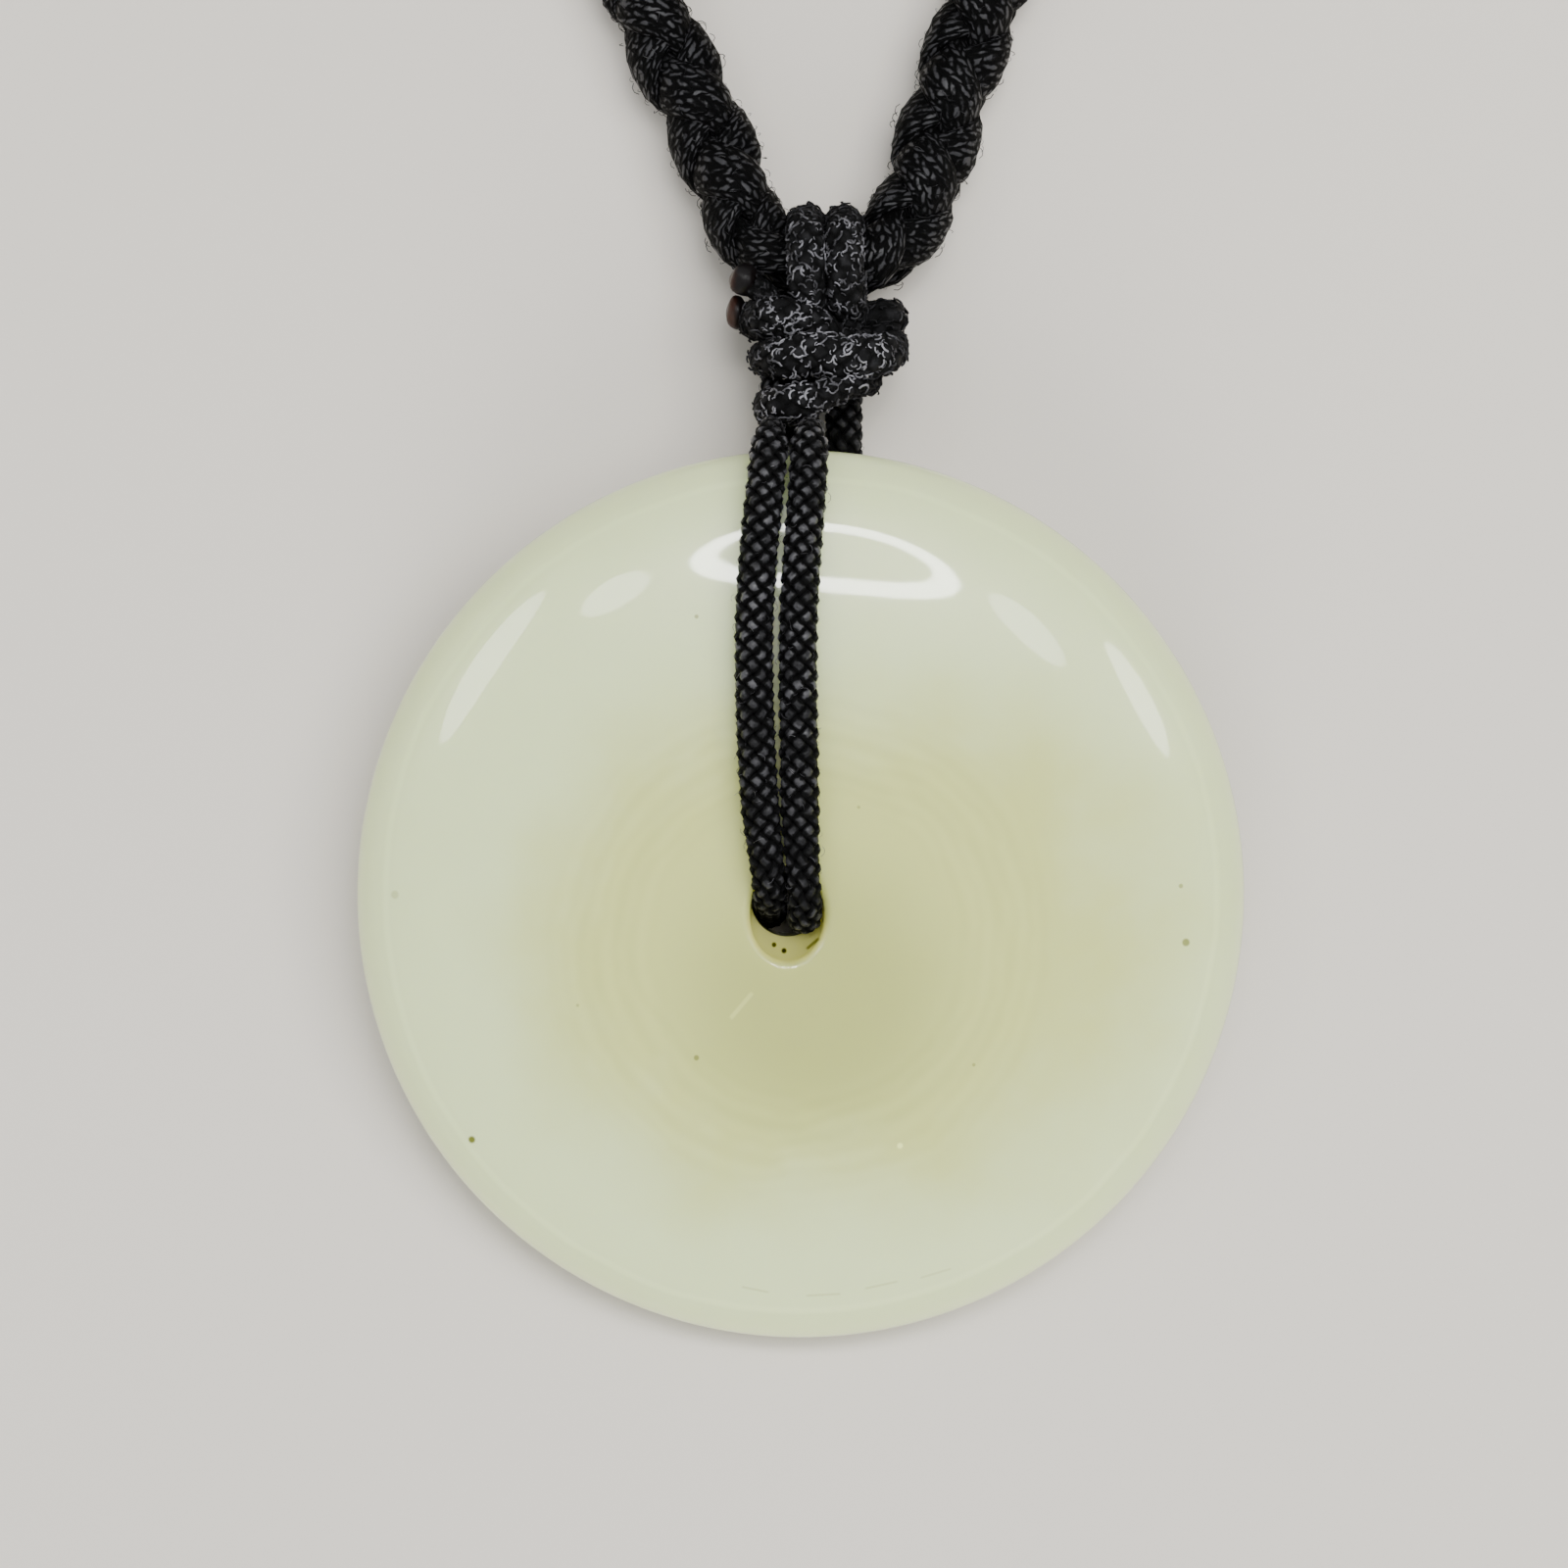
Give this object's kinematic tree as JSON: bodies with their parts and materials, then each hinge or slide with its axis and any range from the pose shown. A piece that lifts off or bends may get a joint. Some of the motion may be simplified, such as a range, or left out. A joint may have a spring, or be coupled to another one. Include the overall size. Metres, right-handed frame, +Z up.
{
  "type": "ring pendant necklace",
  "caption": "Polished jade disc pendant with a small central hole, on a doubled braided bail cord knotted round a thick braided necklace rope, lying down with the rope coiled.",
  "frame": {"origin": "on the floor under the middle of the disc", "axes": "+Z up, off the disc's face as it lies; +Y from the disc towards the knot and the coiled rope"},
  "size_m": [0.0598, 0.1456, 0.0136],
  "materials": {
    "polished_jade": "polished",
    "black_cord": "matte"
  },
  "bodies": {
    "root": {"jade_disc": "polished_jade", "bail_cord_left": "black_cord", "bail_cord_right": "black_cord", "bail_lobe_left": "black_cord", "bail_lobe_right": "black_cord", "bail_knot": "black_cord", "necklace_rope": "black_cord", "necklace_coil": "black_cord"}
  },
  "joints": []
}
